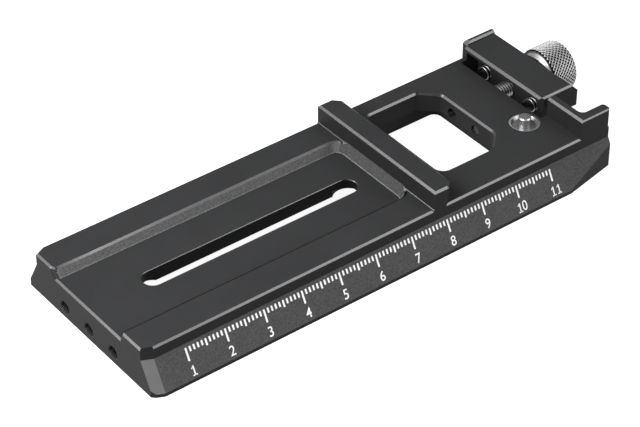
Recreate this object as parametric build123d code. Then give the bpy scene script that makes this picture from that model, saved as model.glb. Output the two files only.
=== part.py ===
from build123d import *
import math
import os

os.makedirs("parts", exist_ok=True)

# Lengths are in millimetres. The working frame has X along the rail from its
# plain end, Y across it and Z up from the flat underside.
# place() moves each finished piece so that the origin is under the middle.

# Rail section
RAIL_LENGTH = 128.4
DECK_HALF_WIDTH = 20.8
SLOPE_RUN = 3.7
FOOT_HALF_WIDTH = DECK_HALF_WIDTH + SLOPE_RUN
DECK_TOP = 10.73
SLOPE_TOP = 7.75
LIP_HEIGHT = 0.92
EDGE_BREAK = 0.4

# Facets that narrow the plain end
FACET_RUN = 2.55
FACET_DEPTH = 1.2
END_BREAK = 0.43

# The clamp at the other end is set out from the end of its seat
CLAMP_END_LENGTH = 10.4
SEAT_END = RAIL_LENGTH - CLAMP_END_LENGTH

# Fixed jaw, a raised rib across the rail
CLAMP_TOP = 15.5
SEAT_LENGTH = 41.3
RIB_WIDTH = 5.7
RIB_START = SEAT_END - SEAT_LENGTH
RIB_END = RIB_START + RIB_WIDTH
RIB_CORNER = 1.8
RIB_BREAK = 0.46
RIB_LIP = 13.0
RIB_HOOK = 2.2
RIB_FOOT = 0.12

# Long pocket in the top, open at the plain end
POCKET_FLOOR = 8.48
POCKET_SIDE = 9.16
POCKET_HALF_WIDTH = DECK_HALF_WIDTH - POCKET_SIDE
POCKET_TO_RIB = 1.2
POCKET_END = RIB_START - POCKET_TO_RIB
POCKET_TAPER = 27.3
POCKET_CORNER_R = 2.0
POCKET_OVERCUT = 0.5
POCKET_MOUTH_R = 1.5
POCKET_MOUTH_CUT = 0.8
POCKET_EDGE_BREAK = 0.4

# Mounting slot through the pocket floor
SLOT_WIDTH = 5.0
SLOT_START = 16.7
SLOT_END_INSET = 6.76
SLOT_END = POCKET_END - SLOT_END_INSET
SLOT_EDGE_BREAK = 0.12
START_RELIEF_R = 3.65
START_RELIEF_DEPTH = 1.05
START_RELIEF_SHIFT = 0.35
END_RELIEF_R = 3.6
END_RELIEF_DEPTH = 1.65
END_RELIEF_SHIFT = 0.6

# Recess in the underside below the slot
UNDER_TOP = 4.99
UNDER_START = 10.0
UNDER_END_INSET = -1.0
UNDER_END = POCKET_END - UNDER_END_INSET
UNDER_SIDE_INSET = 0.64
UNDER_HALF_WIDTH = POCKET_HALF_WIDTH - UNDER_SIDE_INSET
UNDER_CORNER_R = 4.0

# Threaded accessory holes in the plain end
END_HOLE_PITCH = 9.1
END_HOLE_Z = 2.65
END_HOLE_R = 1.5
END_HOLE_DEPTH = 7.0
END_HOLE_SINK = 0.2

# Window through the clamp seat
WINDOW_RIGHT_INSET = 12.15
WINDOW_LENGTH = 19.01
WINDOW_FRONT_INSET = 9.74
WINDOW_BACK_INSET = 5.0
WINDOW_RIGHT = SEAT_END - WINDOW_RIGHT_INSET
WINDOW_LEFT = WINDOW_RIGHT - WINDOW_LENGTH
WINDOW_FRONT = -DECK_HALF_WIDTH + WINDOW_FRONT_INSET
WINDOW_BACK = DECK_HALF_WIDTH - WINDOW_BACK_INSET
WINDOW_BREAK = 0.44
WINDOW_R_FRONT_LEFT = 2.3
WINDOW_R_BACK_LEFT = 1.2
WINDOW_CORNER_CUT = 4.1
WINDOW_BLEND_FRONT = 2.6
WINDOW_BLEND_BACK = 0.9

# Recesses in the underside around the window
SEAT_UNDER_TOP = 2.0
SEAT_UNDER_INSET = 7.8
SEAT_UNDER_LENGTH = 30.2
SEAT_UNDER_RIM = 2.2
SEAT_UNDER_END = SEAT_END - SEAT_UNDER_INSET
SEAT_UNDER_START = SEAT_UNDER_END - SEAT_UNDER_LENGTH
SEAT_UNDER_HALF = DECK_HALF_WIDTH - SEAT_UNDER_RIM
SEAT_UNDER_R = 2.0
BEAM_UNDER_RIM = 1.5
BEAM_UNDER_FRONT_RIM = 2.94
BEAM_UNDER_BACK_RIM = 1.7
BEAM_UNDER_END = SEAT_UNDER_END - BEAM_UNDER_RIM
BEAM_UNDER_FRONT = WINDOW_FRONT - BEAM_UNDER_FRONT_RIM
BEAM_UNDER_BACK = WINDOW_BACK + BEAM_UNDER_BACK_RIM
BEAM_UNDER_TOP = 4.8
BEAM_EDGE_TOP = 5.9

# Right end of the rail, with the recess that the jaw slides in
FRONT_BLOCK_WIDTH = 11.7
BACK_ARM_WIDTH = 1.6
FRONT_ARM_WIDTH = 2.4
WALL_STEP = 1.85
WALL_THICKNESS = 1.95
RECESS_FRONT = -DECK_HALF_WIDTH + FRONT_BLOCK_WIDTH
RECESS_BACK = DECK_HALF_WIDTH - BACK_ARM_WIDTH
WALL_START = SEAT_END + WALL_STEP
WALL_END = WALL_START + WALL_THICKNESS
WALL_FRONT = -DECK_HALF_WIDTH + FRONT_ARM_WIDTH
WALL_BREAK = 0.5
ARM_INNER_R = 1.5
ARM_END_R = 0.8
ARM_BREAK = 0.45
ARM_FRONT_BREAK = 0.28
ARM_CORNER_BREAK = 0.35
BACK_ARM_CUT = 0.9
LOWER_CORNER_RUN = 14.0
LOWER_CORNER_DEPTH = 2.8
LOWER_CORNER_X = RAIL_LENGTH - LOWER_CORNER_RUN
LOWER_CORNER_Y = -FOOT_HALF_WIDTH + LOWER_CORNER_DEPTH

# Moving jaw
JAW_GAP = 0.83
JAW_LENGTH = 11.27
JAW_LIP_X = SEAT_END + JAW_GAP
JAW_FACE_X = JAW_LIP_X + JAW_LENGTH
JAW_TOP = 15.0
JAW_BLOCK_BOTTOM = 8.7
JAW_FRONT_GAP = 1.0
JAW_BACK_GAP = 0.3
JAW_FRONT = RECESS_FRONT + JAW_FRONT_GAP
JAW_BACK = RECESS_BACK - JAW_BACK_GAP
JAW_SHOULDER = 2.05
JAW_BREAK = 0.55
JAW_LIP = 13.75
JAW_BODY_INSET = 4.37
JAW_BODY_STEP = 3.8
JAW_BODY_X = JAW_LIP_X + JAW_BODY_INSET
JAW_BODY_FRONT = JAW_FRONT + JAW_BODY_STEP
JAW_BODY_BOTTOM = 2.2
JAW_CORNER = 0.9

# Clamp screw and knob
SCREW_INSET = 13.0
SCREW_Y = DECK_HALF_WIDTH - SCREW_INSET
SCREW_Z = 7.5
SCREW_R = 1.95
SCREW_FIT = 0.05
SCREW_REACH = 5.8
SCREW_TIP = SEAT_END - SCREW_REACH
SCREW_TIP_BREAK = 0.35
TAP_DRILL_R = 1.5
TAP_DRILL_LENGTH = 2.95
TAP_DRILL_END = WINDOW_RIGHT + TAP_DRILL_LENGTH
JAW_SCREW_FIT = 0.08

# Boss on the jaw's outer face
BOSS_TOP = 12.75
BOSS_TOP_R = 19.0
BOSS_OFFSET = 0.5
BOSS_HALF = 7.4
BOSS_HEIGHT = 1.15
BOSS_Y = SCREW_Y - BOSS_OFFSET
BOSS_END = JAW_FACE_X + BOSS_HEIGHT
BOSS_BREAK = 0.4

WASHER_THICKNESS = 0.35
NECK_LENGTH = 0.9
KNOB_LENGTH = 6.8
NECK_START = BOSS_END + WASHER_THICKNESS
NECK_R = 5.4
NECK_TIP_R = 4.7
WASHER_R = 4.4
KNOB_R = 6.25
KNOB_START = NECK_START + NECK_LENGTH
KNOB_END = KNOB_START + KNOB_LENGTH
KNOB_BREAK = 0.3
KNOB_DISH_R = 3.6
KNOB_DISH_DEPTH = 0.8

# Guide pins beside the screw, each with a spring in the jaw
GUIDE_PITCH = 8.25
GUIDE_R = 1.2
GUIDE_FIT = 0.05
GUIDE_START_INSET = 0.35
GUIDE_END_INSET = 0.5
GUIDE_START = WINDOW_RIGHT + GUIDE_START_INSET
GUIDE_END = JAW_FACE_X - GUIDE_END_INSET
GUIDE_MOUTH_R = 1.3
GUIDE_MOUTH_DEPTH = 0.6
GUIDE_TIP_BREAK = 0.2
SPRING_POCKET_R = 1.95
SPRING_POCKET_DEPTH = 3.6
SPRING_MEAN_R = 1.55
SPRING_WIRE_R = 0.2
SPRING_LENGTH = 5.0
SPRING_PITCH = 0.92

# Safety post beside the moving jaw
POST_INSET = 3.93
POST_OFFSET = 1.1
POST_X = SEAT_END - POST_INSET
POST_Y = RECESS_FRONT + POST_OFFSET
POST_R = 1.5
POST_FIT = 0.06
POST_TOP = 12.3
POST_BREAK = 0.25
BUSH_R = 3.65
BUSH_TOP = 10.45
BUSH_FLOOR = 9.9
BUSH_RIM = 0.45
BUSH_FLANGE_BOTTOM = 8.9
BUSH_SPIGOT_R = 2.6
BUSH_BOTTOM = 6.6
COLLAR_R = 2.3
COLLAR_HEIGHT = 1.2
PLUG_BOTTOM = 0.3
PLUG_TOP = 1.7
PLUG_SLOT_WIDTH = 0.7
PLUG_SLOT_DEPTH = 0.6
POST_SPRING_MEAN_R = 1.75
POST_SPRING_WIRE_R = 0.15
POST_SPRING_PITCH = 0.9

# The knob end is the furthest point from the plain end
OVERALL_LENGTH = KNOB_END
PAST = 5.0
OVERCUT = 1.0
NEAR = 0.02


def place(piece):
    return Pos(-OVERALL_LENGTH / 2, 0, 0) * piece


def save(piece, name):
    export_step(place(piece), os.path.join("parts", name + ".step"))


def block(x0, x1, y0, y1, z0, z1):
    body = Box(x1 - x0, y1 - y0, z1 - z0, align=(Align.MIN, Align.MIN, Align.MIN))
    return Pos(x0, y0, z0) * body


def across(points, y0, y1):
    # A prism with its outline in X and Z, running along Y.
    outline = [Vector(x, y0, z) for x, z in points]
    return extrude(make_face(Polyline(*outline, close=True)), y1 - y0, dir=(0, 1, 0))


def along(points, x0, x1):
    # A prism with its outline in Y and Z, running along X.
    outline = [Vector(x0, y, z) for y, z in points]
    return extrude(make_face(Polyline(*outline, close=True)), x1 - x0, dir=(1, 0, 0))


def upright(points, z0, z1):
    # A prism with its outline in X and Y, running along Z.
    outline = [Vector(x, y, z0) for x, y in points]
    return extrude(make_face(Polyline(*outline, close=True)), z1 - z0, dir=(0, 0, 1))


def rod(radius, x0, x1, y, z):
    # A round bar along X.
    bar = Cylinder(radius, x1 - x0, align=(Align.CENTER, Align.CENTER, Align.MIN))
    return Pos(x0, y, z) * Rot(0, 90, 0) * bar


def pillar(radius, x, y, z0, z1):
    # A round bar along Z.
    bar = Cylinder(radius, z1 - z0, align=(Align.CENTER, Align.CENTER, Align.MIN))
    return Pos(x, y, z0) * bar


def spun_x(points, y, z):
    # A turned shape about an axis along X; points are distance along X and radius.
    outline = [Vector(x, radius, 0) for x, radius in points]
    return Pos(0, y, z) * revolve(make_face(Polyline(*outline, close=True)), Axis.X)


def spun_z(points, x, y):
    # A turned shape about an axis along Z; points are radius and height.
    outline = [Vector(radius, 0, z) for radius, z in points]
    return Pos(x, y, 0) * revolve(make_face(Polyline(*outline, close=True)), Axis.Z)


def rounded_tool(x0, x1, y0, y1, z0, z1, radius):
    tool = block(x0, x1, y0, y1, z0, z1)
    return fillet(tool.edges().filter_by(Axis.Z), radius)


def coil(mean_r, wire_r, pitch, length):
    # A coil spring standing on Z = 0, its wire kept inside the length.
    run = length - 2 * wire_r
    path = Pos(0, 0, wire_r) * Helix(pitch, run, mean_r)
    start = Plane(origin=path @ 0, z_dir=path % 0)
    return sweep(start * Circle(wire_r), path=path)


def rail_section(half_deck, half_foot, z_break):
    right = [
        (half_foot, 0),
        (half_foot, LIP_HEIGHT),
        (half_deck, SLOPE_TOP),
        (half_deck, DECK_TOP - z_break),
        (half_deck - z_break, DECK_TOP),
    ]
    left = [(-y, z) for y, z in reversed(right)]
    return right + left


# Rail blank with narrowed plain end
full = rail_section(DECK_HALF_WIDTH, FOOT_HALF_WIDTH, EDGE_BREAK)
narrow = rail_section(DECK_HALF_WIDTH - FACET_DEPTH, FOOT_HALF_WIDTH - FACET_DEPTH, EDGE_BREAK)
end_face = make_face(Polyline(*[Vector(0, y, z) for y, z in narrow], close=True))
run_face = make_face(Polyline(*[Vector(FACET_RUN, y, z) for y, z in full], close=True))
base = loft([end_face, run_face], ruled=True) + along(full, FACET_RUN, RAIL_LENGTH)

# Bottom corners of the plain end
for side in (1, -1):
    outer = side * (FOOT_HALF_WIDTH + PAST)
    inner = side * (FOOT_HALF_WIDTH - FACET_DEPTH - END_BREAK)
    reach = PAST + FACET_DEPTH + END_BREAK
    base = base - upright([(0, inner), (0, outer), (reach, outer)], -PAST, DECK_TOP + PAST)

# Fixed jaw rib with its undercut
rib = across(
    [
        (RIB_START - RIB_FOOT, DECK_TOP),
        (RIB_START, DECK_TOP + RIB_FOOT),
        (RIB_START, CLAMP_TOP),
        (RIB_END, CLAMP_TOP),
        (RIB_END, RIB_LIP),
        (RIB_END - RIB_HOOK, RIB_LIP - RIB_HOOK),
        (RIB_END - RIB_HOOK, DECK_TOP - EDGE_BREAK),
        (RIB_START - RIB_FOOT, DECK_TOP - EDGE_BREAK),
    ],
    -DECK_HALF_WIDTH,
    DECK_HALF_WIDTH,
)
for side in (1, -1):
    edge = side * DECK_HALF_WIDTH
    cut = side * RIB_CORNER
    corner = [(RIB_END, edge), (RIB_END - RIB_CORNER, edge), (RIB_END, edge - cut)]
    rib = rib - upright(corner, DECK_TOP, CLAMP_TOP + PAST)
rib = chamfer(rib.edges().group_by(Axis.Z)[-1], RIB_BREAK)
base = base + rib

# Front wall and arm, and the back arm
arm_bottom = DECK_TOP - EDGE_BREAK
front_block = block(WALL_START, RAIL_LENGTH, -DECK_HALF_WIDTH, RECESS_FRONT, arm_bottom, CLAMP_TOP)
corner_break = [
    (RAIL_LENGTH, -DECK_HALF_WIDTH),
    (RAIL_LENGTH - ARM_CORNER_BREAK, -DECK_HALF_WIDTH),
    (RAIL_LENGTH, -DECK_HALF_WIDTH + ARM_CORNER_BREAK),
]
front_block = front_block - upright(corner_break, 0, CLAMP_TOP)
left_top = [
    (WALL_START, CLAMP_TOP),
    (WALL_START + WALL_BREAK, CLAMP_TOP),
    (WALL_START, CLAMP_TOP - WALL_BREAK),
]
front_block = front_block - across(left_top, -DECK_HALF_WIDTH, RECESS_FRONT)
front_edge = [
    (-DECK_HALF_WIDTH, CLAMP_TOP),
    (-DECK_HALF_WIDTH + ARM_FRONT_BREAK, CLAMP_TOP),
    (-DECK_HALF_WIDTH, CLAMP_TOP - ARM_FRONT_BREAK),
]
front_block = front_block - along(front_edge, WALL_START, RAIL_LENGTH)
back_block = block(WALL_START, RAIL_LENGTH, RECESS_BACK, DECK_HALF_WIDTH, arm_bottom, CLAMP_TOP)
inner_edge = [
    (RECESS_BACK, CLAMP_TOP),
    (RECESS_BACK + ARM_BREAK, CLAMP_TOP),
    (RECESS_BACK, CLAMP_TOP - ARM_BREAK),
]
outer_edge = [
    (DECK_HALF_WIDTH, CLAMP_TOP),
    (DECK_HALF_WIDTH - ARM_BREAK, CLAMP_TOP),
    (DECK_HALF_WIDTH, CLAMP_TOP - ARM_BREAK),
]
back_block = back_block - along(inner_edge, WALL_START, RAIL_LENGTH)
back_block = back_block - along(outer_edge, WALL_START, RAIL_LENGTH)
arm_nose = [
    (WALL_START, CLAMP_TOP),
    (WALL_START + BACK_ARM_CUT, CLAMP_TOP),
    (WALL_START, CLAMP_TOP - BACK_ARM_CUT),
]
back_block = back_block - across(arm_nose, RECESS_BACK, DECK_HALF_WIDTH)
base = base + front_block + back_block

# Recess between the arms, and behind the front wall
base = base - block(SEAT_END, RAIL_LENGTH + PAST, RECESS_FRONT, RECESS_BACK, -PAST, CLAMP_TOP + PAST)
behind = block(WALL_END, RAIL_LENGTH + PAST, WALL_FRONT, RECESS_FRONT + PAST, -PAST, CLAMP_TOP + PAST)
behind_edges = behind.edges().filter_by(Axis.Z).group_by(Axis.X)[0].sort_by(Axis.Y)
base = base - fillet(behind_edges[0], ARM_INNER_R)
arm_end = base.edges().filter_by(Axis.Z).sort_by_distance((RAIL_LENGTH, WALL_FRONT, DECK_TOP))[0]
base = fillet(arm_end, ARM_END_R)
lower_corner = [
    (LOWER_CORNER_X, -FOOT_HALF_WIDTH),
    (RAIL_LENGTH, LOWER_CORNER_Y),
    (RAIL_LENGTH + PAST, LOWER_CORNER_Y),
    (RAIL_LENGTH + PAST, -FOOT_HALF_WIDTH - PAST),
    (LOWER_CORNER_X, -FOOT_HALF_WIDTH - PAST),
]
base = base - upright(lower_corner, -PAST, DECK_TOP)
base = base - upright([(x, -y) for x, y in lower_corner], -PAST, DECK_TOP)

# Pocket, tapered so that its walls lean outward
pocket_height = DECK_TOP - POCKET_FLOOR + POCKET_OVERCUT
pocket_outline = Rectangle(POCKET_END + PAST, 2 * POCKET_HALF_WIDTH)
pocket_corners = pocket_outline.vertices().group_by(Axis.X)[-1]
pocket_outline = fillet(pocket_corners, POCKET_CORNER_R)
pocket_tool = extrude(pocket_outline, amount=pocket_height, taper=-POCKET_TAPER)
base = base - Pos((POCKET_END - PAST) / 2, 0, POCKET_FLOOR) * pocket_tool
wall_mid_z = (POCKET_FLOOR + DECK_TOP) / 2
wall_mid_y = POCKET_HALF_WIDTH + (wall_mid_z - POCKET_FLOOR) * math.tan(math.radians(POCKET_TAPER))
back_mouth = base.edges().sort_by_distance((0, wall_mid_y, wall_mid_z))[0]
base = fillet(back_mouth, POCKET_MOUTH_R)
front_mouth = base.edges().sort_by_distance((0, -wall_mid_y, wall_mid_z))[0]
base = chamfer(front_mouth, POCKET_MOUTH_CUT)
pocket_top = POCKET_HALF_WIDTH + (DECK_TOP - POCKET_FLOOR) * math.tan(math.radians(POCKET_TAPER))
pocket_mid_x = POCKET_END / 2
for side in (1, -1):
    pocket_rim = base.edges().sort_by_distance((pocket_mid_x, side * pocket_top, DECK_TOP))[0]
    base = chamfer(pocket_rim, POCKET_EDGE_BREAK)

# Edge breaks across the plain end
top_edge = [(0, DECK_TOP), (END_BREAK, DECK_TOP), (0, DECK_TOP - END_BREAK)]
base = base - across(top_edge, -FOOT_HALF_WIDTH, FOOT_HALF_WIDTH)
floor_edge = [(0, POCKET_FLOOR), (END_BREAK, POCKET_FLOOR), (0, POCKET_FLOOR - END_BREAK)]
base = base - across(floor_edge, -POCKET_HALF_WIDTH - POCKET_MOUTH_CUT, POCKET_HALF_WIDTH + POCKET_MOUTH_CUT)

# Recess below the slot
under = rounded_tool(UNDER_START, UNDER_END, -UNDER_HALF_WIDTH, UNDER_HALF_WIDTH, -PAST, UNDER_TOP,
                     UNDER_CORNER_R)
base = base - under

# Slot, with round reliefs at both ends on its lower side
slot_half = SLOT_WIDTH / 2
slot_tool = block(SLOT_START, SLOT_END, -slot_half, slot_half, 0, DECK_TOP)
slot_tool = slot_tool + pillar(slot_half, SLOT_START, 0, 0, DECK_TOP)
slot_tool = slot_tool + pillar(slot_half, SLOT_END, 0, 0, DECK_TOP)
base = base - slot_tool
slot_rim = base.edges().filter_by_position(Axis.Z, POCKET_FLOOR - NEAR, POCKET_FLOOR + NEAR)
slot_rim = slot_rim.filter_by_position(Axis.Y, -slot_half - NEAR, slot_half + NEAR)
slot_rim = slot_rim.filter_by_position(Axis.X, SLOT_START - slot_half - NEAR, SLOT_END + slot_half + NEAR)
base = chamfer(slot_rim, SLOT_EDGE_BREAK)
base = base - pillar(START_RELIEF_R, SLOT_START - START_RELIEF_SHIFT, 0, 0, UNDER_TOP + START_RELIEF_DEPTH)
base = base - pillar(END_RELIEF_R, SLOT_END + END_RELIEF_SHIFT, 0, 0, UNDER_TOP + END_RELIEF_DEPTH)

# Threaded holes in the plain end
for row in (-1, 0, 1):
    hole_y = row * END_HOLE_PITCH
    hole = spun_x(
        [
            (0, 0),
            (0, END_HOLE_R + END_HOLE_SINK),
            (END_HOLE_SINK, END_HOLE_R),
            (END_HOLE_DEPTH, END_HOLE_R),
            (END_HOLE_DEPTH + END_HOLE_R, 0),
        ],
        hole_y,
        END_HOLE_Z,
    )
    base = base - hole

# Window through the seat
window = block(WINDOW_LEFT, WINDOW_RIGHT, WINDOW_FRONT, WINDOW_BACK, -PAST, DECK_TOP + PAST)
left_pair = window.edges().filter_by(Axis.Z).group_by(Axis.X)[0].sort_by(Axis.Y)
window = fillet(left_pair[0], WINDOW_R_FRONT_LEFT)
left_pair = window.edges().filter_by(Axis.Z).group_by(Axis.X)[0].sort_by(Axis.Y)
window = fillet(left_pair[-1], WINDOW_R_BACK_LEFT)
right_pair = window.edges().filter_by(Axis.Z).group_by(Axis.X)[-1]
window = chamfer(right_pair, WINDOW_CORNER_CUT)
cut_start = WINDOW_RIGHT - WINDOW_CORNER_CUT
for corner_y, blend in (
    (WINDOW_FRONT, WINDOW_BLEND_FRONT),
    (WINDOW_BACK, WINDOW_BLEND_BACK),
):
    inward = math.copysign(WINDOW_CORNER_CUT, -corner_y)
    for spot in ((cut_start, corner_y, 0), (WINDOW_RIGHT, corner_y + inward, 0)):
        cut_edge = window.edges().filter_by(Axis.Z).sort_by_distance(spot)[0]
        window = fillet(cut_edge, blend)
base = base - window
window_rim = base.edges().filter_by_position(Axis.Z, DECK_TOP - NEAR, DECK_TOP + NEAR)
window_rim = window_rim.filter_by_position(Axis.X, WINDOW_LEFT - NEAR, WINDOW_RIGHT + NEAR)
window_rim = window_rim.filter_by_position(Axis.Y, WINDOW_FRONT - NEAR, WINDOW_BACK + NEAR)
base = chamfer(window_rim, WINDOW_BREAK)

# Underside recesses around the window
base = base - rounded_tool(SEAT_UNDER_START, SEAT_UNDER_END, -SEAT_UNDER_HALF, SEAT_UNDER_HALF,
                           -PAST, SEAT_UNDER_TOP, SEAT_UNDER_R)
beam_under = [
    (WINDOW_LEFT, -PAST),
    (WINDOW_LEFT, BEAM_EDGE_TOP),
    (WINDOW_RIGHT, BEAM_EDGE_TOP),
    (WINDOW_RIGHT + BEAM_EDGE_TOP - BEAM_UNDER_TOP, BEAM_UNDER_TOP),
    (BEAM_UNDER_END, BEAM_UNDER_TOP),
    (BEAM_UNDER_END, -PAST),
]
base = base - across(beam_under, BEAM_UNDER_FRONT, BEAM_UNDER_BACK)

# Bores for the clamp screw and the guide pins
base = base - rod(TAP_DRILL_R, WINDOW_RIGHT - OVERCUT, TAP_DRILL_END + OVERCUT, SCREW_Y, SCREW_Z)
base = base - rod(SCREW_R + SCREW_FIT, TAP_DRILL_END, SEAT_END + OVERCUT, SCREW_Y, SCREW_Z)
for side in (1, -1):
    guide_y = SCREW_Y + side * GUIDE_PITCH
    mouth_end = WINDOW_RIGHT + GUIDE_MOUTH_DEPTH
    base = base - rod(GUIDE_R, WINDOW_RIGHT - OVERCUT, SEAT_END + OVERCUT, guide_y, SCREW_Z)
    base = base - rod(GUIDE_MOUTH_R, WINDOW_RIGHT - OVERCUT, mouth_end, guide_y, SCREW_Z)

# Bore for the safety post
base = base - pillar(BUSH_R, POST_X, POST_Y, BUSH_FLANGE_BOTTOM, DECK_TOP + OVERCUT)
base = base - pillar(BUSH_SPIGOT_R, POST_X, POST_Y, -OVERCUT, BUSH_FLANGE_BOTTOM + OVERCUT)

# Moving jaw
jaw_root = JAW_LIP_X + JAW_LIP - JAW_BLOCK_BOTTOM
jaw = across(
    [
        (JAW_LIP_X, JAW_LIP),
        (JAW_LIP_X, JAW_TOP - JAW_BREAK),
        (JAW_LIP_X + JAW_BREAK, JAW_TOP),
        (JAW_FACE_X - JAW_SHOULDER, JAW_TOP),
        (JAW_FACE_X, JAW_TOP - JAW_SHOULDER),
        (JAW_FACE_X, JAW_BLOCK_BOTTOM),
        (jaw_root, JAW_BLOCK_BOTTOM),
    ],
    JAW_FRONT,
    JAW_BACK,
)
body_top = JAW_LIP - (JAW_BODY_X - JAW_LIP_X)
jaw = jaw + across(
    [
        (JAW_BODY_X, JAW_BODY_BOTTOM),
        (JAW_BODY_X, body_top),
        (JAW_FACE_X - JAW_SHOULDER, body_top),
        (JAW_FACE_X, JAW_BLOCK_BOTTOM),
        (JAW_FACE_X, JAW_BODY_BOTTOM),
    ],
    JAW_BODY_FRONT,
    JAW_BACK,
)
jaw_front_edge = [
    (JAW_FRONT, JAW_TOP),
    (JAW_FRONT + EDGE_BREAK, JAW_TOP),
    (JAW_FRONT, JAW_TOP - EDGE_BREAK),
]
jaw = jaw - along(jaw_front_edge, JAW_LIP_X, JAW_FACE_X)
jaw_corner = [
    (JAW_LIP_X, JAW_FRONT),
    (JAW_LIP_X + JAW_CORNER, JAW_FRONT),
    (JAW_LIP_X, JAW_FRONT + JAW_CORNER),
]
jaw = jaw - upright(jaw_corner, 0, JAW_TOP + PAST)
boss_centre = BOSS_TOP - BOSS_TOP_R
boss = block(JAW_FACE_X, BOSS_END, BOSS_Y - BOSS_HALF, BOSS_Y + BOSS_HALF, JAW_BODY_BOTTOM, JAW_TOP)
boss = boss & rod(BOSS_TOP_R, JAW_FACE_X, BOSS_END, BOSS_Y, boss_centre)
boss = chamfer(boss.edges().group_by(Axis.X)[-1], BOSS_BREAK)
jaw = jaw + boss
jaw = jaw - rod(SCREW_R + JAW_SCREW_FIT, JAW_BODY_X - PAST, BOSS_END + OVERCUT, SCREW_Y, SCREW_Z)
spring_seat = JAW_BODY_X + SPRING_POCKET_DEPTH
for side in (1, -1):
    guide_y = SCREW_Y + side * GUIDE_PITCH
    jaw = jaw - rod(GUIDE_R + GUIDE_FIT, JAW_BODY_X - PAST, BOSS_END + OVERCUT, guide_y, SCREW_Z)
    jaw = jaw - rod(SPRING_POCKET_R, JAW_BODY_X - PAST, spring_seat, guide_y, SCREW_Z)

# Clamp screw, with the knob fixed on its outer end
screw_end = KNOB_END - KNOB_DISH_DEPTH
screw = spun_x(
    [
        (SCREW_TIP, 0),
        (SCREW_TIP, SCREW_R - SCREW_TIP_BREAK),
        (SCREW_TIP + SCREW_TIP_BREAK, SCREW_R),
        (screw_end, SCREW_R),
        (screw_end, 0),
    ],
    SCREW_Y,
    SCREW_Z,
)
knob = spun_x(
    [
        (NECK_START, SCREW_R),
        (NECK_START, NECK_TIP_R),
        (KNOB_START, NECK_R),
        (KNOB_START, KNOB_R - KNOB_BREAK),
        (KNOB_START + KNOB_BREAK, KNOB_R),
        (KNOB_END - KNOB_BREAK, KNOB_R),
        (KNOB_END, KNOB_R - KNOB_BREAK),
        (KNOB_END, KNOB_DISH_R),
        (KNOB_END - KNOB_DISH_DEPTH, KNOB_DISH_R),
        (KNOB_END - KNOB_DISH_DEPTH, SCREW_R),
    ],
    SCREW_Y,
    SCREW_Z,
)
washer = rod(WASHER_R, BOSS_END, NECK_START, SCREW_Y, SCREW_Z)
washer = washer - rod(SCREW_R + JAW_SCREW_FIT, BOSS_END - OVERCUT, NECK_START + OVERCUT, SCREW_Y, SCREW_Z)

# Guide pins and springs
pins = {}
springs = {}
for label, side in (("back", 1), ("front", -1)):
    guide_y = SCREW_Y + side * GUIDE_PITCH
    pins[label] = spun_x(
        [
            (GUIDE_START, 0),
            (GUIDE_START, GUIDE_R - GUIDE_TIP_BREAK),
            (GUIDE_START + GUIDE_TIP_BREAK, GUIDE_R),
            (GUIDE_END - GUIDE_TIP_BREAK, GUIDE_R),
            (GUIDE_END, GUIDE_R - GUIDE_TIP_BREAK),
            (GUIDE_END, 0),
        ],
        guide_y,
        SCREW_Z,
    )
    wire = coil(SPRING_MEAN_R, SPRING_WIRE_R, SPRING_PITCH, SPRING_LENGTH)
    springs[label] = Pos(spring_seat - SPRING_LENGTH, guide_y, SCREW_Z) * Rot(0, 90, 0) * wire

# Safety post with its bush, spring and plug
bush = spun_z(
    [
        (POST_R + POST_FIT, BUSH_BOTTOM),
        (BUSH_SPIGOT_R, BUSH_BOTTOM),
        (BUSH_SPIGOT_R, BUSH_FLANGE_BOTTOM),
        (BUSH_R, BUSH_FLANGE_BOTTOM),
        (BUSH_R, BUSH_TOP),
        (BUSH_R - BUSH_RIM, BUSH_TOP),
        (BUSH_R - BUSH_RIM - (BUSH_TOP - BUSH_FLOOR), BUSH_FLOOR),
        (POST_R + POST_FIT, BUSH_FLOOR),
    ],
    POST_X,
    POST_Y,
)
collar_bottom = BUSH_BOTTOM - COLLAR_HEIGHT
post = spun_z(
    [
        (0, collar_bottom),
        (COLLAR_R, collar_bottom),
        (COLLAR_R, BUSH_BOTTOM),
        (POST_R, BUSH_BOTTOM),
        (POST_R, POST_TOP - POST_BREAK),
        (POST_R - POST_BREAK, POST_TOP),
        (0, POST_TOP),
    ],
    POST_X,
    POST_Y,
)
plug = pillar(BUSH_SPIGOT_R, POST_X, POST_Y, PLUG_BOTTOM, PLUG_TOP)
plug_slot = block(POST_X - PAST, POST_X + PAST, POST_Y - PLUG_SLOT_WIDTH / 2, POST_Y + PLUG_SLOT_WIDTH / 2,
                  PLUG_BOTTOM - OVERCUT, PLUG_BOTTOM + PLUG_SLOT_DEPTH)
plug = plug - plug_slot
post_wire = coil(POST_SPRING_MEAN_R, POST_SPRING_WIRE_R, POST_SPRING_PITCH, collar_bottom - PLUG_TOP)
post_spring = Pos(POST_X, POST_Y, PLUG_TOP) * post_wire

save(base, "base_plate")
save(jaw, "clamp_jaw")
save(screw, "clamp_screw")
save(knob, "knob")
save(washer, "thrust_washer")
save(pins["back"], "guide_pin_back")
save(pins["front"], "guide_pin_front")
save(springs["back"], "guide_spring_back")
save(springs["front"], "guide_spring_front")
save(bush, "post_bush")
save(post, "safety_post")
save(post_spring, "post_spring")
save(plug, "post_plug")
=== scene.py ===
import math

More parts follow.
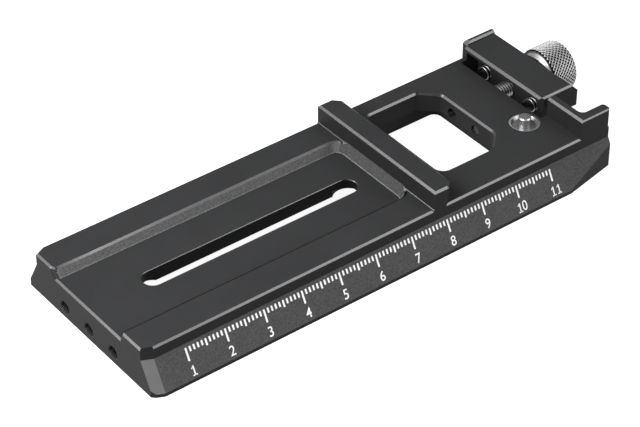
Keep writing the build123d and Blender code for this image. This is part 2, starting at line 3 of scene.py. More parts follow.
import bmesh
import bpy
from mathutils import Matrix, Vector


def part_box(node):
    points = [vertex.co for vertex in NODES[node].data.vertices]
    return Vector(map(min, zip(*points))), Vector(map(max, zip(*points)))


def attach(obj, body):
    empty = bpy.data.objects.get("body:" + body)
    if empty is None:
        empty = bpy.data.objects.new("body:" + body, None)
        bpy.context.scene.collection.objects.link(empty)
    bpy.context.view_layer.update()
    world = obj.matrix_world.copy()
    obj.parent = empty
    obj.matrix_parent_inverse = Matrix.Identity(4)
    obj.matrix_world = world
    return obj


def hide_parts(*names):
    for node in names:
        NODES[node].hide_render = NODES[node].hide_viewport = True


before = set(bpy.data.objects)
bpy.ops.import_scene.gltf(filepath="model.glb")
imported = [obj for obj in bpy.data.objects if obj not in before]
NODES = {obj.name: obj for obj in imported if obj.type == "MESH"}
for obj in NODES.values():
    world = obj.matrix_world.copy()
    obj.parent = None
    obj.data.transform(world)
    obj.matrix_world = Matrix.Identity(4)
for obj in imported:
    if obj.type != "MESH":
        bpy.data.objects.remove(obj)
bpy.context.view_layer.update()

MM = 0.001

# The camera was found from the ruler and the rail's own edges.
CAMERA_PLACE = Vector((-0.26835, -0.3370, 0.3365))
CAMERA_AZIMUTH = -37.65
CAMERA_ELEVATION = 37.96
CAMERA_LENS = 137.17
CAMERA_SENSOR = 36
CAMERA_REACH = 20


def camera():
    bpy.ops.object.camera_add(location=CAMERA_PLACE)
    eye = bpy.context.object
    eye.name = "camera"
    eye.data.lens = CAMERA_LENS
    eye.data.sensor_width = CAMERA_SENSOR
    eye.data.clip_end = CAMERA_REACH
    eye.rotation_euler = (
        math.radians(90 - CAMERA_ELEVATION),
        0,
        math.radians(CAMERA_AZIMUTH),
    )
    bpy.context.scene.camera = eye


def grey(level, tint=(1.0, 1.0, 1.0)):
    return (level * tint[0], level * tint[1], level * tint[2], 1.0)


class Graph:
    """A material's nodes, added one by one and joined by name."""

    def __init__(self, name):
        self.material = bpy.data.materials.new(name)
        self.material.use_nodes = True
        self.tree = self.material.node_tree
        self.shader = self.tree.nodes["Principled BSDF"]

    def node(self, kind, **settings):
        made = self.tree.nodes.new(kind)
        for key, value in settings.items():
            setattr(made, key, value)
        return made

    def link(self, source, target):
        self.tree.links.new(source, target)

    def fill(self, socket, value):
        """Gives a socket a number or a colour, or joins another node's output to it."""
        if isinstance(value, (int, float, tuple)):
            socket.default_value = value
        else:
            self.link(value, socket)

    def split(self, vector):
        """The X, Y and Z of a vector."""
        made = self.node("ShaderNodeSeparateXYZ")
        self.link(vector, made.inputs[0])
        return made.outputs

    def maths(self, operation, *values):
        made = self.node("ShaderNodeMath", operation=operation)
        for slot, value in enumerate(values):
            self.fill(made.inputs[slot], value)
        return made.outputs[0]

    def above(self, value, limit):
        return self.maths("GREATER_THAN", value, limit)

    def below(self, value, limit):
        return self.maths("LESS_THAN", value, limit)

    def near(self, value, span):
        """1 where a value lies within a span, given as its middle and half its width, else 0."""
        return self.maths("COMPARE", value, *span)

    def both(self, first, second):
        return self.maths("MULTIPLY", first, second)

    def reach(self, first, second, centre):
        """The distance from an axis, from two coordinates and where the axis crosses them."""
        away = [self.maths("SUBTRACT", *pair) for pair in zip((first, second), centre)]
        squares = [self.maths("MULTIPLY", value, value) for value in away]
        return self.maths("SQRT", self.maths("ADD", *squares))

    def share(self, value, low, high):
        """How far a value lies from low to high, kept between 0 and 1."""
        made = self.node("ShaderNodeMapRange")
        made.inputs["From Min"].default_value = low
        made.inputs["From Max"].default_value = high
        self.link(value, made.inputs["Value"])
        return made.outputs["Result"]

    def noise(self, vector, scale, detail=2.0, rough=0.5):
        made = self.node("ShaderNodeTexNoise")
        made.inputs["Scale"].default_value = scale
        made.inputs["Detail"].default_value = detail
        made.inputs["Roughness"].default_value = rough
        self.link(vector, made.inputs["Vector"])
        return made.outputs["Fac"]

    def ramp(self, value, *stops):
        """A grey that runs between two stops, each a value and its level."""
        made = self.node("ShaderNodeValToRGB")
        for element, (position, level) in zip(made.color_ramp.elements, stops):
            element.position = position
            element.color = grey(level)
        self.link(value, made.inputs["Fac"])
        return made.outputs["Color"]

    def mix(self, share, first, second):
        made = self.node("ShaderNodeMix", data_type="RGBA")
        for slot, value in ((0, share), (6, first), (7, second)):
            self.fill(made.inputs[slot], value)
        return made.outputs[2]

    def times(self, first, second):
        made = self.node("ShaderNodeMix", data_type="RGBA", blend_type="MULTIPLY")
        for slot, value in ((0, 1.0), (6, first), (7, second)):
            self.fill(made.inputs[slot], value)
        return made.outputs[2]

    def bump(self, height, strength, distance):
        made = self.node("ShaderNodeBump")
        made.inputs["Strength"].default_value = strength
        made.inputs["Distance"].default_value = distance
        self.link(height, made.inputs["Height"])
        self.link(made.outputs["Normal"], self.shader.inputs["Normal"])


COOL = (0.985, 0.995, 1.03)

# Levels of the dark anodising, from the flat tops to the edge breaks. The tops and the plain edge
# breaks keep the anodising's own level; the other levels are painted light and shade, lighter or
# darker by how each face turns and where it lies.
TOP_GREY = 0.0285
SIDE_SHADE_GREY = 0.017
SLOT_SHADE_GREY = 0.002
SLOPE_LIT_GREY = 0.067
FACET_HIGHLIGHT_GREY = 0.114
POCKET_WALL_LIT_GREY = 0.096
POCKET_END_SHADE_GREY = 0.055
WALL_FOOT_HIGHLIGHT_GREY = 0.16
BREAK_GREY = 0.10
LEFT_BREAK_HIGHLIGHT_GREY = 0.157
FRONT_RIM_SHADE_GREY = 0.006
FAR_RIM_HIGHLIGHT_GREY = 0.18
CORNER_SHADE_GREY = 0.03

# What the normal's parts are on each kind of face, as a middle and half a width.
BREAK_RISE = (0.75, 0.14)
BREAK_TURN = (0.62, 0.30)
RIM_RISE = (0.854, 0.04)
SLOPE_RISE = (0.467, 0.05)
UPRIGHT_RISE = (0.0, 0.2)
FACET_TURN = (-0.39, 0.12)

# How far a face has to turn to one side to count as facing it.
FACING = 0.3
CORNER_FACING = 0.2
END_WALL_FACING = 0.7

# Where the pocket and its slot are.
SLOT_REACH = 3.0 * MM
SLOT_SPAN = (-27.25 * MM, 29.5 * MM)
FAR_RIM_SPAN = (-31.0 * MM, 37.5 * MM)
FAR_RIM_FRONT = 5.0 * MM
POCKET_FLOOR_HEIGHT = 8.4 * MM
WALL_FOOT_HEIGHT = 8.66 * MM
BREAKS_ABOVE = 6.0 * MM

# How each noise moves the tone, as two of its values and the share of the tone at each.
CLOUD_SCALE = 90.0
CLOUD_TONE = ((0.3, 0.94), (0.75, 1.07))
BLAST_SCALE = 2500.0
BLAST_TONE = ((0.36, 0.72), (0.64, 1.28))
GRAIN_SCALE = 5200.0
GRAIN_TONE = ((0.35, 0.90), (0.7, 1.10))

BODY_ROUGH = 0.50
CLOUD_ROUGH = 0.06
BREAK_POLISH = -0.18
BREAK_METAL = 0.9
BODY_SPECULAR = 0.06
BODY_RELIEF = 0.06 * MM


def break_colours(g, body, broken, normal, place):
    """The body's colour with its edge breaks, cut bright, with a painted highlight where they face
    the left and on the pocket's far rim, and painted shade on rims that face the back and on
    breaks turned both to the left and the front.
    """
    nx, ny, nz = normal
    to_left = g.below(nx, -FACING)
    to_front = g.below(ny, -FACING)
    # Breaks facing the left get a painted highlight over their bright cut.
    breaks = g.mix(to_left, grey(BREAK_GREY), grey(LEFT_BREAK_HIGHLIGHT_GREY))
    colour = g.mix(broken, body, breaks)
    # Painted shade: rim breaks that face the back are painted near black.
    front_rim = g.both(g.near(nz, RIM_RISE), g.above(ny, FACING))
    colour = g.mix(front_rim, colour, grey(FRONT_RIM_SHADE_GREY))
    # Painted shade on edge breaks turned both to the left and to the front.
    turned_twice = g.both(g.below(nx, -CORNER_FACING), g.below(ny, -CORNER_FACING))
    colour = g.mix(g.both(broken, turned_twice), colour, grey(CORNER_SHADE_GREY))
    # Painted highlight on the front-facing break along the top of the pocket's back wall.
    beside_pocket = g.near(place["X"], FAR_RIM_SPAN)
    behind_slot = g.above(place["Y"], FAR_RIM_FRONT)
    far_rim = g.both(g.both(beside_pocket, behind_slot), to_front)
    return g.mix(g.both(broken, far_rim), colour, grey(FAR_RIM_HIGHLIGHT_GREY))


def anodised():
    """Fine bead-blasted dark anodising, coarser on the leaning faces, with painted light and shade
    laid over it by how each face turns and where it lies.
    """
    g = Graph("anodised")
    where = g.node("ShaderNodeTexCoord").outputs
    normal = g.split(where["Normal"])
    place = g.split(where["Object"])
    nx, ny, nz = normal
    upright = g.near(nz, UPRIGHT_RISE)
    leaning = g.near(nz, SLOPE_RISE)
    side = g.maths("MAXIMUM", g.maths("ABSOLUTE", nx), g.maths("ABSOLUTE", ny))
    broken = g.both(g.near(nz, BREAK_RISE), g.near(side, BREAK_TURN))
    broken = g.both(broken, g.above(place["Z"], BREAKS_ABOVE))

    cloud = g.noise(where["Object"], CLOUD_SCALE, detail=3.0)
    grain = g.noise(where["Object"], GRAIN_SCALE, rough=0.6)
    blast = g.noise(where["Object"], BLAST_SCALE, detail=3.0, rough=0.7)

    # Upright faces are painted darker than the tops: painted shade.
    body = g.mix(upright, grey(TOP_GREY, COOL), grey(SIDE_SHADE_GREY, COOL))
    # Painted shade: the upright walls inside the slot are painted near black.
    near_middle = g.below(g.maths("ABSOLUTE", place["Y"]), SLOT_REACH)
    in_slot = g.both(g.both(near_middle, g.near(place["X"], SLOT_SPAN)), upright)
    body = g.mix(in_slot, body, grey(SLOT_SHADE_GREY))
    body = g.times(body, g.ramp(grain, *GRAIN_TONE))

    # Painted light on the pocket's leaning walls, lighter than the ruler slope, and painted shade
    # on its end wall, which faces the left.
    end_wall = g.below(nx, -END_WALL_FACING)
    wall = g.mix(end_wall, grey(POCKET_WALL_LIT_GREY), grey(POCKET_END_SHADE_GREY))
    # Painted highlight along the foot of the pocket's walls, where a small fillet would catch the
    # light.
    wall = g.mix(g.below(place["Z"], WALL_FOOT_HEIGHT), wall, grey(WALL_FOOT_HIGHLIGHT_GREY))
    in_pocket = g.above(place["Z"], POCKET_FLOOR_HEIGHT)
    # The ruler slope is painted lighter than the tops: painted light.
    sloped = g.mix(in_pocket, grey(SLOPE_LIT_GREY), wall)
    sloped = g.times(sloped, g.ramp(blast, *BLAST_TONE))
    body = g.mix(leaning, body, sloped)
    # Painted highlight on the leaning facet at the plain end's front corner.
    facet = g.both(leaning, g.near(nx, FACET_TURN))
    body = g.mix(facet, body, grey(FACET_HIGHLIGHT_GREY))
    body = g.times(body, g.ramp(cloud, *CLOUD_TONE))

    g.link(break_colours(g, body, broken, normal, place), g.shader.inputs["Base Color"])
    g.link(g.maths("MULTIPLY", broken, BREAK_METAL), g.shader.inputs["Metallic"])
    g.shader.inputs["Specular IOR Level"].default_value = BODY_SPECULAR
    dull = g.maths("MULTIPLY_ADD", cloud, CLOUD_ROUGH, BODY_ROUGH)
    g.link(g.maths("MULTIPLY_ADD", broken, BREAK_POLISH, dull), g.shader.inputs["Roughness"])
    relief = g.maths("ADD", grain, g.both(blast, leaning))
    g.bump(relief, strength=0.2, distance=BODY_RELIEF)
    return g.material


STEEL_DARKEST = 0.88
STEEL_ROUGH_SPREAD = 0.12
STEEL_RELIEF = 0.03 * MM


def steel(name, level, rough, scratch_scale, shade=None):
    """Turned or drawn metal with a fine grain; shade, if given, lays a second tone over it,
    painted shade or a painted highlight.
    """
    g = Graph(name)
    where = g.node("ShaderNodeTexCoord").outputs
    g.shader.inputs["Metallic"].default_value = 1.0
    grain = g.noise(where["Object"], scratch_scale, detail=3.0)
    colour = g.ramp(grain, (0.3, level * STEEL_DARKEST), (0.7, level))
    if shade is not None:
        colour = shade(g, g.split(where["Object"]), colour)
    g.link(colour, g.shader.inputs["Base Color"])
    g.link(g.maths("MULTIPLY_ADD", grain, STEEL_ROUGH_SPREAD, rough), g.shader.inputs["Roughness"])
    g.bump(grain, strength=0.1, distance=STEEL_RELIEF)
    return g.material


BORE_SCALE = 1800.0
BORE_SHADE_TONE = ((0.3, 0.006), (0.7, 0.012))
PRINT_SCALE = 2600.0
PRINT_TONE = ((0.3, 0.78), (0.7, 0.90))
PRINT_ROUGH = 0.5
PRINT_ROUGH_SPREAD = 0.1


def dark_bore():
    """The inside of a threaded hole, where no edge is cut bright: the dark anodising with painted
    shade, near black.
    """
    g = Graph("dark_bore")
    patches = g.noise(g.node("ShaderNodeTexCoord").outputs["Object"], BORE_SCALE)
    g.link(g.ramp(patches, *BORE_SHADE_TONE), g.shader.inputs["Base Color"])
    g.shader.inputs["Roughness"].default_value = 0.6
    g.shader.inputs["Specular IOR Level"].default_value = 0.1
    return g.material


def printed_white():
    """The ruler's white print, a little uneven in tone."""
    g = Graph("printed_white")
    where = g.node("ShaderNodeTexCoord").outputs
    patches = g.noise(where["Object"], PRINT_SCALE, detail=3.0, rough=0.6)
    g.link(g.ramp(patches, *PRINT_TONE), g.shader.inputs["Base Color"])
    rough = g.maths("MULTIPLY_ADD", patches, PRINT_ROUGH_SPREAD, PRINT_ROUGH)
    g.link(rough, g.shader.inputs["Roughness"])
    return g.material


FLOOR_SIZE = 8.0
FLOOR_GREY = 0.35
FLOOR_ROUGH = 0.9
FLOOR_GLOW = 0.93
WORLD_LEVEL = 0.36


def floor_white():
    """White as the camera and reflections see it, a plain grey for the lamps, clear from below."""
    g = Graph("floor_white")
    g.shader.inputs["Base Color"].default_value = grey(FLOOR_GREY)
    g.shader.inputs["Roughness"].default_value = FLOOR_ROUGH
    rays = g.node("ShaderNodeLightPath").outputs
    seen = g.maths("MAXIMUM", rays["Is Camera Ray"], rays["Is Glossy Ray"])
    g.link(g.maths("MULTIPLY", seen, FLOOR_GLOW), g.shader.inputs["Emission Strength"])
    g.shader.inputs["Emission Color"].default_value = grey(1.0)
    sides = g.node("ShaderNodeMixShader")
    g.link(g.node("ShaderNodeNewGeometry").outputs["Backfacing"], sides.inputs[0])
    g.link(g.shader.outputs[0], sides.inputs[1])
    g.link(g.node("ShaderNodeBsdfTransparent").outputs[0], sides.inputs[2])
    g.link(sides.outputs[0], g.tree.nodes["Material Output"].inputs["Surface"])
    return g.material


def stage():
    bpy.ops.mesh.primitive_plane_add(size=FLOOR_SIZE, location=(0, 0, 0))
    floor = bpy.context.object
    floor.name = "floor"
    floor.data.materials.append(floor_white())

    world = bpy.data.worlds.new("studio")
    bpy.context.scene.world = world
    world.use_nodes = True
    background = world.node_tree.nodes["Background"]
    background.inputs["Color"].default_value = grey(1.0)
    background.inputs["Strength"].default_value = WORLD_LEVEL


def softbox(name, place, size, power):
    """A square lamp that looks at the origin."""
    bpy.ops.object.light_add(type="AREA", location=place)
    lamp = bpy.context.object
    lamp.name = name
    lamp.data.shape = "RECTANGLE"
    lamp.data.size = size
    lamp.data.size_y = size
    lamp.data.energy = power
    lamp.rotation_euler = (-Vector(place)).to_track_quat("-Z", "Y").to_euler()


def paint(material, *names):
    for name in names:
        mesh = NODES[name].data
        mesh.materials.clear()
        mesh.materials.append(material)


def nothing_selected():
    bpy.ops.object.select_all(action="DESELECT")


def only(piece):
    """Makes one object the selected and active one."""
    nothing_selected()
    piece.select_set(True)
    bpy.context.view_layer.objects.active = piece


def these(pieces):
    """Makes some objects the selected ones, the first of them active."""
    only(pieces[0])
    for piece in pieces[1:]:
        piece.select_set(True)


def joined(pieces):
    these(pieces)
    bpy.ops.object.join()
    return bpy.context.object


def settle(piece, name):
    """Names a finished piece and moves its place into its mesh."""
    only(piece)
    bpy.ops.object.transform_apply(location=True, rotation=True, scale=True)
    piece.name = name
    piece.data.name = name


def copy_of(piece, place, turn):
    twin = piece.copy()
    twin.data = piece.data.copy()
    twin.location = place
    twin.rotation_euler = turn
    bpy.context.collection.objects.link(twin)
    return twin


def edit_select(piece, mode, wanted):
    """Selects the vertices, edges or faces for which wanted is true, and stays in edit mode."""
    if piece.mode != "EDIT":
        only(piece)
        bpy.ops.object.mode_set(mode="EDIT")
    bpy.ops.mesh.select_mode(type=mode)
    mesh = bmesh.from_edit_mesh(piece.data)
    mesh.select_mode = {mode}
    for group in (mesh.verts, mesh.edges, mesh.faces):
        for part in group:
            part.select = False
    for part in {"VERT": mesh.verts, "EDGE": mesh.edges, "FACE": mesh.faces}[mode]:
        if wanted(part):
            part.select_set(True)
    mesh.select_flush_mode()
    bmesh.update_edit_mesh(piece.data)


def select_whole_mesh():
    bpy.ops.mesh.select_all(action="SELECT")


def turn_outwards():
    select_whole_mesh()
    bpy.ops.mesh.normals_make_consistent(inside=False)


def leave_edit_mode():
    bpy.ops.object.mode_set(mode="OBJECT")


# The ruler is printed on the front slope, from its upper edge down.
RAIL_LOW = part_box("base_plate")[0]
SLOPE_TOP = Vector((RAIL_LOW.x, -20.8 * MM, 7.75 * MM))
SLOPE_FOOT = Vector((RAIL_LOW.x, -24.5 * MM, 0.92 * MM))
DOWN_SLOPE = (SLOPE_FOOT - SLOPE_TOP).normalized()
SLOPE_TURN = (math.atan2(-DOWN_SLOPE.z, -DOWN_SLOPE.y), 0, 0)
FIRST_MARK = 10
LAST_MARK = 110
NUMERAL_STEP = 10
MARK_START = 0.85 * MM
MARK_WIDTH = 0.44 * MM
MARK_ROUNDING = 0.22
MARK_LENGTHS = {10: 2.95 * MM, 5: 1.6 * MM, 1: 1.15 * MM}
PRINT_THICKNESS = 0.012 * MM
NUMERAL_MIDDLE = 6.06 * MM
NUMERAL_SIZE = 3.2 * MM
NUMERAL_HEIGHT = 2.2 * MM
NUMERAL_SHIFT = 0.12 * MM
NUMERAL_WEIGHT = 0.012 * MM
NUMERAL_NARROWING = 0.93
DIGIT_ADVANCE = 1.62 * MM
ONE_SHIFT = 0.24 * MM
STROKE = 0.32 * MM
FOOT_HALF = 0.54 * MM
FOOT_RISE = 0.85 * STROKE
FLAG_REACH = 0.52 * MM
FLAG_DROP = 0.42 * MM


def on_slope(along_rail, down):
    return SLOPE_TOP + Vector((along_rail, 0, 0)) + DOWN_SLOPE * down


def bar_of_print(x0, x1, y0, y1):
    """A flat bar of print between two corners."""
    nothing_selected()
    bpy.ops.mesh.primitive_cube_add(size=1.0, location=((x0 + x1) / 2, (y0 + y1) / 2, 0))
    bar = bpy.context.object
    bar.scale = (x1 - x0, y1 - y0, PRINT_THICKNESS)
    bpy.ops.object.transform_apply(location=True, rotation=True, scale=True)
    return bar


def printed_mark(length):
    """One mark of the ruler, with its corners rounded."""
    mark = bar_of_print(-MARK_WIDTH / 2, MARK_WIDTH / 2, -length / 2, length / 2)

    def through_the_print(edge):
        return abs(edge.verts[0].co.z - edge.verts[1].co.z) > PRINT_THICKNESS / 2

    edit_select(mark, "EDGE", through_the_print)
    bpy.ops.mesh.bevel(offset=MARK_WIDTH * MARK_ROUNDING, segments=2)
    leave_edit_mode()
    return mark


def ruler_marks(ink):
    """The marks in three lengths, each length one piece."""
    for step, length in MARK_LENGTHS.items():
        pattern = printed_mark(length)
        row = []
        for number in range(FIRST_MARK, LAST_MARK + 1):
            biggest = next(size for size in MARK_LENGTHS if number % size == 0)
            if biggest == step:
                place = on_slope(number * MM, MARK_START + length / 2)
                row.append(copy_of(pattern, place, SLOPE_TURN))
        bpy.data.objects.remove(pattern)
        marks = joined(row)
        settle(marks, "ruler_marks_%02d" % step)
        marks.data.materials.append(ink)
        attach(marks, "rail")


def digit_one():
    """The figure 1, with the foot and the flag of the lettering."""
    half = NUMERAL_HEIGHT / 2
    stem = bar_of_print(-STROKE / 2, STROKE / 2, -half, half)
    foot = bar_of_print(-FOOT_HALF, FOOT_HALF, -half, FOOT_RISE - half)
    flag = bar_of_print(-FLAG_REACH, 0, half - STROKE, half)
    edit_select(flag, "VERT", lambda vertex: vertex.co.x < -FLAG_REACH / 2)
    bpy.ops.transform.translate(value=(0, -FLAG_DROP, 0))
    leave_edit_mode()
    return joined([stem, foot, flag])


def digit_from_type(character):
    nothing_selected()
    bpy.ops.object.text_add()
    digit = bpy.context.object
    digit.data.body = character
    digit.data.size = NUMERAL_SIZE
    digit.data.align_x = "CENTER"
    digit.data.align_y = "CENTER"
    digit.data.extrude = PRINT_THICKNESS / 2
    digit.data.offset = NUMERAL_WEIGHT
    only(digit)
    bpy.ops.object.convert(target="MESH")
    digit = bpy.context.object
    digit.scale = (NUMERAL_NARROWING, 1, 1)
    bpy.ops.object.transform_apply(location=False, rotation=False, scale=True)
    return digit


def ruler_numeral(number, ink):
    characters = str(number)
    digits = []
    for place, character in enumerate(characters):
        aside = (place - (len(characters) - 1) / 2) * DIGIT_ADVANCE
        if character == "1":
            digit = digit_one()
            aside += ONE_SHIFT
        else:
            digit = digit_from_type(character)
        digit.location.x += aside
        digits.append(digit)
    these(digits)
    bpy.ops.object.transform_apply(location=True, rotation=True, scale=True)
    numeral = joined(digits)
    numeral.location = on_slope(number * NUMERAL_STEP * MM + NUMERAL_SHIFT, NUMERAL_MIDDLE)
    numeral.rotation_euler = SLOPE_TURN
    settle(numeral, "ruler_numeral_%02d" % number)
    numeral.data.materials.append(ink)
    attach(numeral, "rail")


# The knob, its knurl, and the screw's thread share one axis.
KNOB_LOW, KNOB_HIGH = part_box("knob")
SCREW_LOW, SCREW_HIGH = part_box("clamp_screw")
AXIS_Y = (KNOB_LOW.y + KNOB_HIGH.y) / 2
AXIS_Z = (KNOB_LOW.z + KNOB_HIGH.z) / 2
KNOB_RADIUS = (KNOB_HIGH.z - KNOB_LOW.z) / 2
SCREW_RADIUS = (SCREW_HIGH.z - SCREW_LOW.z) / 2

KNOB_CHAMFER = 0.3 * MM
KNOB_NECK = 0.9 * MM
NECK_TIP_RADIUS = 4.7 * MM
NECK_RADIUS = 5.4 * MM
RIM_RADIUS = KNOB_RADIUS - KNOB_CHAMFER
DISH_RADIUS = 3.6 * MM
DISH_DEPTH = 0.8 * MM
DISH_LIP = 0.25 * MM
DISH_LIP_DROP = 0.1 * MM
KNURL_SIDES = 76
KNURL_ROWS = 12
KNURL_DEPTH = 0.42 * MM
KNURL_LENGTH = KNOB_HIGH.x - KNOB_LOW.x - KNOB_NECK - 2 * KNOB_CHAMFER
KNURL_START = KNOB_LOW.x + KNOB_NECK + KNOB_CHAMFER
KNURL_PITCH = KNURL_LENGTH / KNURL_ROWS
ON_THE_KNURL = 0.99
ROW_SLACK = 0.1
WELD = 0.0005 * MM


def ring_at(x, radius, sides):
    """A ring of vertices about the screw's axis, in edit mode."""
    nothing_selected()
    bpy.ops.mesh.primitive_circle_add(
        vertices=sides,
        radius=radius,
        location=(x, AXIS_Y, AXIS_Z),
        rotation=(0, math.radians(90), 0),
    )
    ring = bpy.context.object
    bpy.ops.object.transform_apply(location=True, rotation=True, scale=True)
    bpy.ops.object.mode_set(mode="EDIT")
    select_whole_mesh()
    return ring


def draw_on(step, ratio):
    """Extrudes the selected ring by a step along X and scales it about the axis."""
    bpy.ops.mesh.extrude_region_move(TRANSFORM_OT_translate={"value": (step, 0, 0)})
    bpy.ops.transform.resize(value=(1, ratio, ratio))


def in_valley(vertex):
    """Whether a vertex of the knurl's grid is one of those that are sunk, every second one."""
    y = vertex.co.y - AXIS_Y
    z = vertex.co.z - AXIS_Z
    row = (vertex.co.x - KNURL_START) / KNURL_PITCH
    if math.hypot(y, z) < KNOB_RADIUS * ON_THE_KNURL:
        return False
    if row < -ROW_SLACK or row > KNURL_ROWS + ROW_SLACK:
        return False
    side = math.atan2(z, y) / (2 * math.pi) * KNURL_SIDES
    return (round(side) + round(row)) % 2 == 1


def on_knurl(face):
    middle = KNURL_START + KNURL_LENGTH / 2
    return abs(face.calc_center_median().x - middle) < KNURL_LENGTH / 2


def knurled_knob(metal):
    """The knob: a coned neck, a diamond knurl between two chamfers, and a dished end."""
    knob = ring_at(KNOB_LOW.x, NECK_TIP_RADIUS, KNURL_SIDES)
    steps = [(KNOB_NECK, NECK_RADIUS), (0.0, RIM_RADIUS), (KNOB_CHAMFER, KNOB_RADIUS)]
    steps += [(KNURL_PITCH, KNOB_RADIUS)] * KNURL_ROWS
    steps += [(KNOB_CHAMFER, RIM_RADIUS), (0.0, DISH_RADIUS + DISH_LIP)]
    steps += [(-DISH_LIP_DROP, DISH_RADIUS), (DISH_LIP_DROP - DISH_DEPTH, DISH_RADIUS)]
    steps += [(0.0, SCREW_RADIUS)]
    radius = NECK_TIP_RADIUS
    for step, target in steps:
        draw_on(step, target / radius)
        radius = target
    bpy.ops.mesh.edge_face_add()
    leave_edit_mode()

    edit_select(knob, "VERT", in_valley)
    ratio = 1 - KNURL_DEPTH / KNOB_RADIUS
    bpy.ops.transform.resize(value=(1, ratio, ratio), center_override=(0, AXIS_Y, AXIS_Z))
    edit_select(knob, "FACE", on_knurl)
    bpy.ops.mesh.quads_convert_to_tris(quad_method="LONGEST_DIAGONAL")
    edit_select(knob, "EDGE", lambda edge: edge.is_boundary)
    bpy.ops.mesh.edge_face_add()
    select_whole_mesh()
    bpy.ops.mesh.remove_doubles(threshold=WELD)
    turn_outwards()
    leave_edit_mode()
    settle(knob, "knurled_knob")
    knob.data.materials.append(metal)
    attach(knob, "knob_and_screw")
    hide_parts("knob")


# Crests and roots are given as shares of the pitch.
SCREW_PITCH = 0.7 * MM
SCREW_THREAD_DEPTH = 0.38 * MM
SCREW_CREST = (0.36, 0.5)
SCREW_ROOT = (0.86, 1.0)
SCREW_RUN_IN = 1.5
SCREW_TIP_INSET = 0.4 * MM
SCREW_STEPS = 32
HOLE_PITCH = 0.5 * MM
HOLE_THREAD_DEPTH = 0.26 * MM
HOLE_CREST = (0.45, 0.55)
HOLE_RADIUS = 1.49 * MM
HOLE_SPACING = 9.1 * MM
HOLE_HEIGHT = 2.65 * MM
HOLE_THREAD_START = 0.35 * MM
HOLE_THREAD_END = 6.6 * MM
HOLE_STEPS = 24
THREAD_WELD = 0.002 * MM


def thread_profile(place, pitch, points):
    """A chain of edges at place, from points given as a share of the pitch and a radius."""
    points = [(share * pitch, radius) for share, radius in points]
    nothing_selected()
    bpy.ops.mesh.primitive_plane_add(size=MM, location=place)
    profile = bpy.context.object
    bpy.ops.object.mode_set(mode="EDIT")
    bpy.ops.mesh.select_mode(type="VERT")
    select_whole_mesh()
    bpy.ops.mesh.merge(type="CENTER")
    bpy.ops.transform.translate(value=(points[0][0], 0, points[0][1]))
    for start, end in zip(points, points[1:]):
        bpy.ops.mesh.extrude_region_move(
            TRANSFORM_OT_translate={"value": (end[0] - start[0], 0, end[1] - start[1])}
        )
    leave_edit_mode()
    return profile


def wind(profile, pitch, turns, steps):
    """Turns the profile about X, one pitch further along for each turn."""
    only(profile)
    screw = profile.modifiers.new("wind", "SCREW")
    screw.axis = "X"
    screw.screw_offset = pitch
    screw.iterations = turns
    screw.steps = steps
    screw.render_steps = steps
    screw.use_merge_vertices = False
    bpy.ops.object.modifier_apply(modifier=screw.name)
    bpy.ops.object.mode_set(mode="EDIT")
    select_whole_mesh()
    bpy.ops.mesh.remove_doubles(threshold=THREAD_WELD)
    leave_edit_mode()


def clamp_screw_thread(metal):
    """The clamp screw with its thread, cut square at the tip and inside the knob."""
    low = SCREW_LOW.x
    high = SCREW_HIGH.x - SCREW_TIP_INSET
    root = SCREW_RADIUS - SCREW_THREAD_DEPTH
    crest = SCREW_RADIUS
    points = [(0.0, root)] + [(share, crest) for share in SCREW_CREST]
    points += [(share, root) for share in SCREW_ROOT]
    place = (low - SCREW_RUN_IN * SCREW_PITCH, AXIS_Y, AXIS_Z)
    screw = thread_profile(place, SCREW_PITCH, points)
    turns = math.ceil((high - low) / SCREW_PITCH) + math.ceil(2 * SCREW_RUN_IN)
    wind(screw, SCREW_PITCH, turns, SCREW_STEPS)
    bpy.ops.object.mode_set(mode="EDIT")
    for cut, keep_above in ((low, True), (high, False)):
        select_whole_mesh()
        bpy.ops.mesh.bisect(
            plane_co=(cut, AXIS_Y, AXIS_Z),
            plane_no=(1, 0, 0),
            use_fill=True,
            clear_inner=keep_above,
            clear_outer=not keep_above,
        )
    turn_outwards()
    leave_edit_mode()
    settle(screw, "clamp_screw_thread")
    screw.data.materials.append(metal)
    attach(screw, "knob_and_screw")
    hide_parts("clamp_screw")


def end_hole_thread(row, metal):
    """The thread in one of the plain end's holes, as a ridge wound inside the bore."""
    crest = HOLE_RADIUS - HOLE_THREAD_DEPTH
    points = [(0.0, HOLE_RADIUS)] + [(share, crest) for share in HOLE_CREST]
    points += [(1.0, HOLE_RADIUS)]
    place = (RAIL_LOW.x + HOLE_THREAD_START, row * HOLE_SPACING, HOLE_HEIGHT)
    ridge = thread_profile(place, HOLE_PITCH, points)
    edit_select(ridge, "VERT", lambda vertex: len(vertex.link_edges) == 1)
    bpy.ops.mesh.edge_face_add()
    leave_edit_mode()
    turns = round((HOLE_THREAD_END - HOLE_THREAD_START) / HOLE_PITCH)
    wind(ridge, HOLE_PITCH, turns, HOLE_STEPS)
    edit_select(ridge, "EDGE", lambda edge: edge.is_boundary)
    bpy.ops.mesh.fill_holes(sides=0)
    turn_outwards()
    leave_edit_mode()
    settle(ridge, "end_hole_thread_%d" % (row + 2))
    ridge.data.materials.append(metal)
    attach(ridge, "rail")


BUSH_LOW, BUSH_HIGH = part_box("post_bush")
POST_CENTRE = ((BUSH_LOW + BUSH_HIGH) / 2)[:2]
BUSH_RADIUS = (BUSH_HIGH.x - BUSH_LOW.x) / 2
BUSH_RIM = 0.45 * MM
# Painted highlight on the bush's rim.
RIM_HIGHLIGHT_GREY = 0.9
# Painted shade in the knurl's pits.
PIT_SHADE_GREY = 0.012
# Painted shade at the thread's roots.
ROOT_SHADE_GREY = 0.05

# Depths below the crests, as shares of the knurl's or the thread's depth.
PIT_DARK_BELOW = 0.54
PIT_CLEAR_ABOVE = 0.16
KNURL_SKIN = 1.1
ROOT_DARK_BELOW = 0.9
ROOT_CLEAR_ABOVE = 0.2


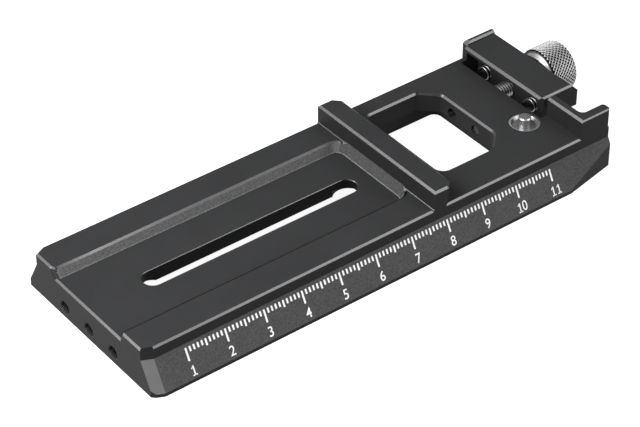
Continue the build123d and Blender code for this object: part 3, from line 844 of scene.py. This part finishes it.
def knurl_shade(g, place, colour):
    """Painted shade, darker in the pits of the knurl."""
    reach = g.reach(place["Y"], place["Z"], (AXIS_Y, AXIS_Z))
    crest = g.share(
        reach,
        KNOB_RADIUS - PIT_DARK_BELOW * KNURL_DEPTH,
        KNOB_RADIUS - PIT_CLEAR_ABOVE * KNURL_DEPTH,
    )
    outside = g.above(reach, KNOB_RADIUS - KNURL_SKIN * KNURL_DEPTH)
    pit = g.both(outside, g.maths("SUBTRACT", 1.0, crest))
    return g.mix(pit, colour, grey(PIT_SHADE_GREY))


def thread_shade(g, place, colour):
    """Painted shade, darker at the root of the thread."""
    reach = g.reach(place["Y"], place["Z"], (AXIS_Y, AXIS_Z))
    crest = g.share(
        reach,
        SCREW_RADIUS - ROOT_DARK_BELOW * SCREW_THREAD_DEPTH,
        SCREW_RADIUS - ROOT_CLEAR_ABOVE * SCREW_THREAD_DEPTH,
    )
    return g.mix(crest, grey(ROOT_SHADE_GREY), colour)


def rim_shade(g, place, colour):
    """Brighter on the turned rim of the bush: a painted highlight."""
    reach = g.reach(place["X"], place["Y"], POST_CENTRE)
    return g.mix(g.above(reach, BUSH_RADIUS - BUSH_RIM), colour, grey(RIM_HIGHLIGHT_GREY))


STEEL = steel("plain_steel", 0.36, 0.34, 900.0)
DARK_PIN = steel("dark_pin", 0.06, 0.40, 900.0)
SCREW_STEEL = steel("screw_steel", 0.55, 0.30, 900.0, thread_shade)
WIRE = steel("spring_wire", 0.42, 0.32, 1500.0)
SILVER = steel("silver_knob", 0.60, 0.44, 700.0, knurl_shade)
POST = steel("turned_post", 0.42, 0.34, 700.0, rim_shade)
paint(anodised(), "base_plate", "clamp_jaw")
paint(STEEL, "clamp_screw", "thrust_washer", "post_plug")
paint(DARK_PIN, "guide_pin_back", "guide_pin_front")
paint(WIRE, "guide_spring_back", "guide_spring_front", "post_spring")
paint(SILVER, "knob")
paint(POST, "post_bush", "safety_post")

INK = printed_white()
ruler_marks(INK)
for centimetre in range(FIRST_MARK // NUMERAL_STEP, LAST_MARK // NUMERAL_STEP + 1):
    ruler_numeral(centimetre, INK)
knurled_knob(SILVER)
clamp_screw_thread(SCREW_STEEL)
BORE = dark_bore()
for hole_row in (-1, 0, 1):
    end_hole_thread(hole_row, BORE)

camera()
stage()
softbox("top", (-0.26, 0.0, 0.25), 0.25, 1.75)
softbox("front_right", (0.55, -0.62, 0.55), 0.6, 5.2)
softbox("left_back", (-0.72, 0.22, 0.46), 0.6, 3.6)

bpy.context.scene.view_settings.view_transform = "Standard"
